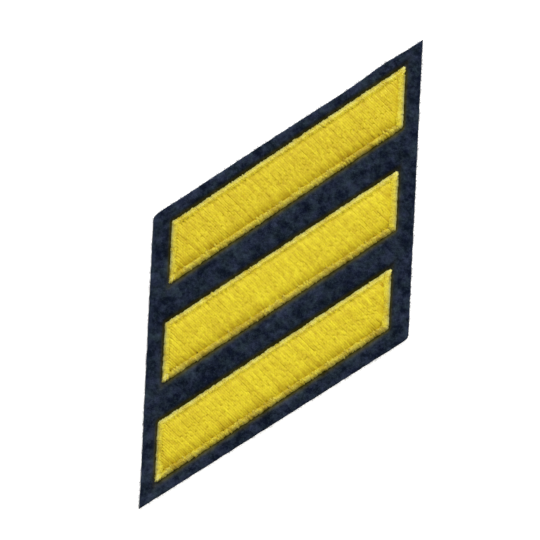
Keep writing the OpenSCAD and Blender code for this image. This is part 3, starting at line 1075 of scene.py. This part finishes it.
def satin_stitches(bar, seed):
    """All border stitches, each with the height of the border's back along it."""
    random = np.random.default_rng(seed)
    outer, inner, reach = border_places(bar)
    count = len(outer)
    sideways = random.normal(0, SIDEWAYS, (count, 2))
    outward = (outer - inner) / reach[:, None]
    sides = Sides(bar, outward)

    # The inner ends: ragged, farther out below, and moved along the bar so that stitches slant.
    ragged = random.normal(0, 1, count) * sides.blend(INNER_RAGGED, down=LOWER_RAGGED)
    inner = inner + outward * sides.blend(ragged, down=LOWER_NARROWER, beside=-END_WIDER)[:, None]
    slant = np.minimum(reach, BORDER) * sides.blend(up=SATIN_SLANT, down=-LOWER_SLANT)
    inner = inner + bar.along * slant[:, None]

    # The outer ends: how far each leans out over the felt.
    lean = sides.blend(down=LOWER_LEAN, beside=END_LEAN, up=TOP_LEAN[bar.name])
    lean = lean + random.exponential(STRAY, count) * sides.blend(down=1, up=0.7)
    lean = lean + random.normal(0, LEAN_STRAY, count) * sides.blend(1, up=0.4, beside=-0.3)
    lean = lean + LEAN_WAVE * lumps(*outer.T, 0.5, seed) * sides.blend(1, beside=-0.4)
    tip = at_tips(*outer.T)
    lean = lean - TIP_THIN * tip * np.sign(outer[:, 0] - bar.middle[0])
    outer = outer + outward * lean[:, None]

    # The path: straight from end to end, over the rounded back.
    share = cosine_steps(SATIN_RINGS)
    flat = mix(outer[:, None], inner[:, None], share[:, None]) + sideways[:, None]
    crest = mix(mix(CREST, LOWER_CREST, sides.down), END_CREST, sides.beside)
    crest = np.clip((crest + lean) / (reach + lean), 0.2, 0.9)[:, None]
    line = mix(NEEDLE_LINE, TOP_NEEDLE_LINE, sides.up) + (1 - NEEDLE_LINE) * sides.beside
    tall = mix(BORDER_RISE, LOWER_RISE, sides.down)[:, None]
    back = tall * satin_back(share, crest, line[:, None], mix(1.8, 2.2, sides.down)[:, None])
    lift = random.normal(0, SATIN_LIFT, count) * sides.blend(1, down=-0.15, beside=-0.75, up=-0.3)
    wave = SATIN_WAVE * lumps(*outer.T, 0.55, seed + 9)
    lift = lift + wave * sides.blend(1, beside=-0.75, down=-0.3)
    height = SATIN_HALF_HEIGHT * sides.blend(1, beside=-0.8, up=-0.35, down=-0.15)[:, None]
    z = fill_low + back - height + lift[:, None]
    path = np.concatenate([flat, z[..., None]], axis=-1)

    # The shade: each stitch's own, with short waves, and long ones along the lower side, which is also
    # painted a little deeper, a painted shade on the side turned from the light.
    shade = 0.5 + random.uniform(-0.5, 0.5, count) * sides.blend(1, beside=-0.4) - 0.25 * sides.down
    shade = shade + 0.3 * lumps(*outer.T, 1.3, seed + 3)
    shade = shade + 0.9 * sides.down * lumps(*outer.T, 4.5, seed + 5)

    # The pale rim, a painted highlight: strongest at the outer end, less on the lower side, and all over
    # at the sharp tips.
    rim_reach = (RIM_REACH * sides.blend(1, down=2, beside=0.1))[:, None]
    fade = np.exp(-share * (reach + lean)[:, None] / rim_reach)
    rim = np.maximum(sides.blend(1, down=-0.65)[:, None] * fade, TIP_PALE * tip[:, None])
    width = SATIN_HALF_WIDTH * random.uniform(0.9, 1.1, (count, 1)) * sides.blend(1, beside=0.6)[:, None]
    boxy = np.clip(sides.blend(beside=1, up=0.5, down=0.3), 0, 1)
    return strands(path, width, height, 6, shade, rim, boxy)


# %% Core under the border
CORE_RINGS = 9
CORE_OUT, CORE_IN = 0.16, BORDER - 0.1
CORE_BELOW, CORE_LEAST, CORE_SHADE = 0.2, 0.05, 0.1


def border_core(bar):
    """A closed ring under the stitches, with the same rounded back a little lower."""
    share = cosine_steps(CORE_RINGS)
    inset = np.concatenate([[CORE_OUT], mix(CORE_OUT, CORE_IN, share), [CORE_IN]])
    height = LOWER_RISE * satin_back(mix(0.1, 0.95, share)) - CORE_BELOW
    z = fill_low + np.concatenate([[0], np.maximum(height, CORE_LEAST), [0]])
    loops = np.stack([rounded_outline(bar, i) for i in inset])
    points = np.concatenate([loops, np.broadcast_to(z[:, None, None], loops.shape[:2] + (1,))], -1)
    index = np.arange(points.shape[0] * points.shape[1]).reshape(points.shape[:2])
    on, up = np.roll(index, -1, axis=1), np.roll(index, -1, axis=0)
    quads = np.stack([index, on, np.roll(on, -1, axis=0), up], axis=-1).reshape(-1, 4)
    return part(points, [quads], **plain_values(index.size, CORE_SHADE))


# %% Make the fillings and the borders
for layer, first_seed, stitches, under, thread in (
    ("fill", 20, fill_stitches, fill_padding, gold_fill),
    ("border", 40, satin_stitches, border_core, gold_satin),
):
    for seed, bar in enumerate(BARS, first_seed):
        parts = [stitches(bar, seed), under(bar)]
        piece = piece_from_parts(f"{bar.name}_{layer}_stitches", parts, thread)
        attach(piece, "root")
        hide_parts(f"{bar.name}_{layer}")

# %% [markdown]
# ## The cloth's flat area
# The felt is a sheet laid flat. Its cut isn't a rectangle, so its flat area is worked out: the width
# times the mean length of the two upright ends.

felt_width = 2 * felt_half * MM
right_end = felt_high[1] - low_edge(felt_high[0])
felt_area = felt_width * (FELT_LEFT_END + right_end) / 2 * MM
print("flat area of the felt, square centimetres", round(felt_area * 1e4, 2))

# %% [markdown]
# ## Floor, light and camera
# The patch lies on a pale table that glows a little, so that it comes out plain white. The light is a
# warm, even room and one broad window beyond the top of the picture, which brightens the upper border
# of each bar and leaves the felt above it dark. The camera looks straight down through a long lens,
# turned a few degrees as the patch is in its photo.

# %% Floor
FLOOR_HALF = 3000.0
floor_material, floor_tree = new_material("pale_table")
finish_material(floor_tree, {
    "Base Color": (0.93, 0.93, 0.93, 1),
    "Roughness": 0.7,
    "Emission Color": (1, 1, 1, 1),
    "Emission Strength": 0.85,
})
square = np.array([[-1, -1, 0], [1, -1, 0], [1, 1, 0], [-1, 1, 0]]) * FLOOR_HALF
floor = piece_from_parts("table_top", [part(square, [np.array([[0, 1, 2, 3]])])], floor_material)

# %% Light
WINDOW_AT = 0.16, 1.54, 1.55
world = bpy.data.worlds.new("soft_room")
bpy.context.scene.world = world
world.use_nodes = True
room = world.node_tree.nodes["Background"]
room.inputs["Color"].default_value = (1, 0.94, 0.82, 1)
room.inputs["Strength"].default_value = 0.42

window = bpy.data.lights.new("window", "AREA")
window.shape = "SQUARE"
window.size = 1.0
window.energy = 37.2
window_holder = bpy.data.objects.new("window", window)
bpy.context.scene.collection.objects.link(window_holder)
window_holder.location = WINDOW_AT
window_holder.rotation_euler = Vector(WINDOW_AT).to_track_quat("Z", "Y").to_euler()
print("window, metres away", round(Vector(WINDOW_AT).length, 2))

# %% Camera
LENS, SENSOR = 150.0, 36.0
PICTURE_SIDE = 540
MM_PER_PIXEL = 0.1925
PICTURE_TURN = np.radians(2.8)
PATCH_PIXEL = np.array([281.0, 274.4])

camera = bpy.data.cameras.new("camera")
camera.lens = LENS
camera.sensor_width = SENSOR
eye = bpy.data.objects.new("camera", camera)
bpy.context.scene.collection.objects.link(eye)
across, down = (PICTURE_SIDE / 2 - PATCH_PIXEL) * MM_PER_PIXEL
cosine, sine = np.cos(PICTURE_TURN), np.sin(PICTURE_TURN)
eye_height = PICTURE_SIDE * MM_PER_PIXEL * LENS / SENSOR + felt_high[2]
eye.location = np.array([cosine * across + sine * down, sine * across - cosine * down, eye_height]) * MM
eye.rotation_euler = (0, 0, PICTURE_TURN)
camera.clip_start, camera.clip_end = 0.01, 20
bpy.context.scene.camera = eye
bpy.context.scene.view_settings.view_transform = "Standard"
print("camera, mm above the table", round(float(eye_height), 1))
